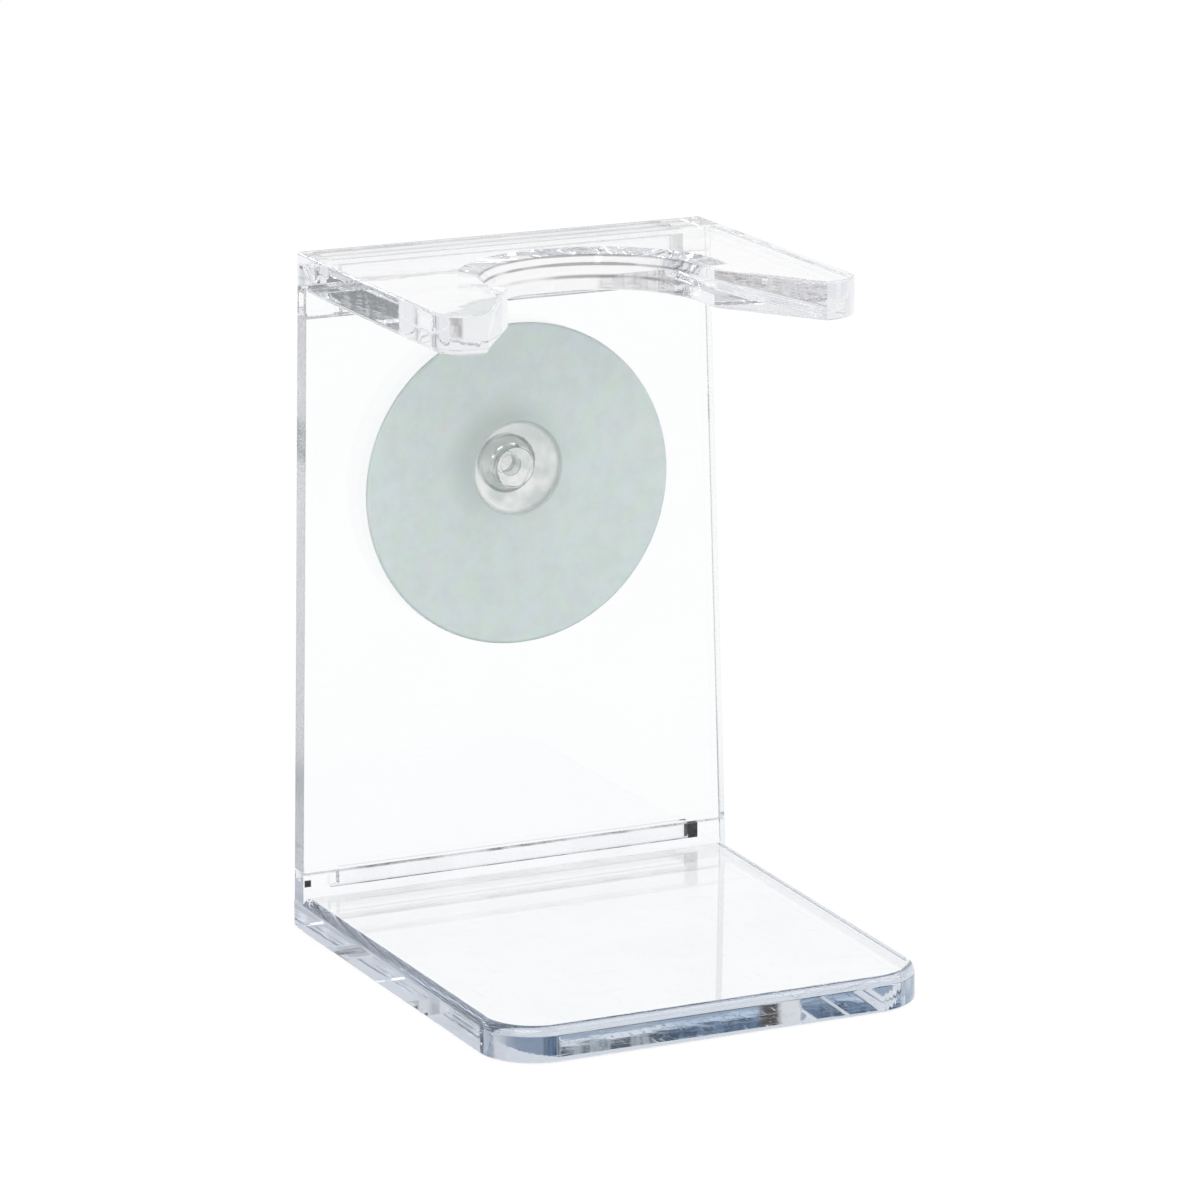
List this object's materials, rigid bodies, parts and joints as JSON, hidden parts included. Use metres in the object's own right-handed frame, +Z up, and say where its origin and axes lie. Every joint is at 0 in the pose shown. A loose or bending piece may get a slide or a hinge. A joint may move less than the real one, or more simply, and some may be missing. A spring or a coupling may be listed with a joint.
{
  "type": "shaving brush stand",
  "caption": "Clear acrylic C-shaped stand with a flat base, an upright back panel and an open-fronted fork that a shaving brush hangs from, with a soft suction cup.",
  "frame": {"origin": "centre of the base plate's flat underside", "axes": "+Z up, -Y towards the open front where the brush goes in, +X to the right seen from the front"},
  "size_m": [0.072, 0.0795, 0.105],
  "materials": {
    "clear_acrylic": "polished, crystal clear",
    "soft_vinyl": "satin, milky translucent soft vinyl"
  },
  "bodies": {
    "stand": {"base_tray": "clear_acrylic", "back_panel": "clear_acrylic", "brush_fork": "clear_acrylic"},
    "cup": {"suction_cup": "soft_vinyl"}
  },
  "joints": [
    {"name": "cup_turn", "type": "hinge", "parent": "stand", "child": "cup", "pos_m": [0, 0.0385, 0.0696], "axis": [0, 1, 0], "continuous": true}
  ]
}
